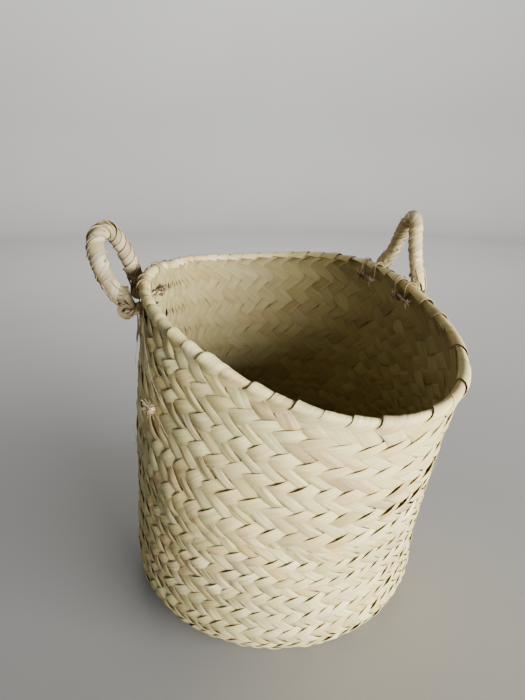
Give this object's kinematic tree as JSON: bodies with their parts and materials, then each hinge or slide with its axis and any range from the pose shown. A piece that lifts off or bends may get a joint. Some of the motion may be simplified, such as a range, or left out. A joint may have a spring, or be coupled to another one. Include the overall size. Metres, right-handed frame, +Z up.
{
  "type": "plaited storage basket",
  "caption": "Round open storage basket plaited from palm leaf in a herringbone twill, with a rolled rim and two wrapped rope handles that swing.",
  "frame": {"origin": "middle of the flat base, on the surface that the basket stands on", "axes": "+Z up, +X to the right with the handles left and right, +Y to the back, away from the low lip of the rim"},
  "size_m": [0.3347, 0.3666, 0.3859],
  "materials": {
    "palm_leaf": "matte",
    "palm_cord": "matte",
    "handle_leaf": "matte"
  },
  "bodies": {
    "basket": {"start_button": "palm_leaf", "base_turn_1": "palm_leaf", "base_turn_2": "palm_leaf", "wall_turn_1": "palm_leaf", "wall_turn_2": "palm_leaf", "wall_turn_3": "palm_leaf", "wall_turn_4": "palm_leaf", "rim_turn": "palm_leaf", "seam_cord_1": "palm_cord", "seam_cord_2": "palm_cord", "seam_cord_3": "palm_cord", "seam_cord_4": "palm_cord", "seam_cord_5": "palm_cord", "seam_cord_6": "palm_cord", "seam_cord_7": "palm_cord", "rim_core": "palm_cord", "rim_roll": "palm_leaf", "left_back_lashing": "palm_cord", "left_front_lashing": "palm_cord", "left_back_knot": "palm_cord", "left_front_knot": "palm_cord", "right_back_lashing": "palm_cord", "right_front_lashing": "palm_cord", "right_back_knot": "palm_cord", "right_front_knot": "palm_cord", "side_tie": "palm_cord"},
    "left_handle": {"left_handle_core": "palm_cord", "left_handle_wrap": "handle_leaf", "left_back_eye": "handle_leaf", "left_front_eye": "handle_leaf"},
    "right_handle": {"right_handle_core": "palm_cord", "right_handle_wrap": "handle_leaf", "right_back_eye": "handle_leaf", "right_front_eye": "handle_leaf"}
  },
  "joints": [
    {"name": "left_handle_swing", "type": "hinge", "parent": "basket", "child": "left_handle", "pos_m": [-0.12801, -0.03676, 0.3175], "axis": [0.0106, -0.9979, -0.0635], "range_deg": [-12, 120]},
    {"name": "right_handle_swing", "type": "hinge", "parent": "basket", "child": "right_handle", "pos_m": [0.13988, 0.09711, 0.29878], "axis": [-0.4428, 0.8821, 0.1608], "range_deg": [0, 130]}
  ]
}
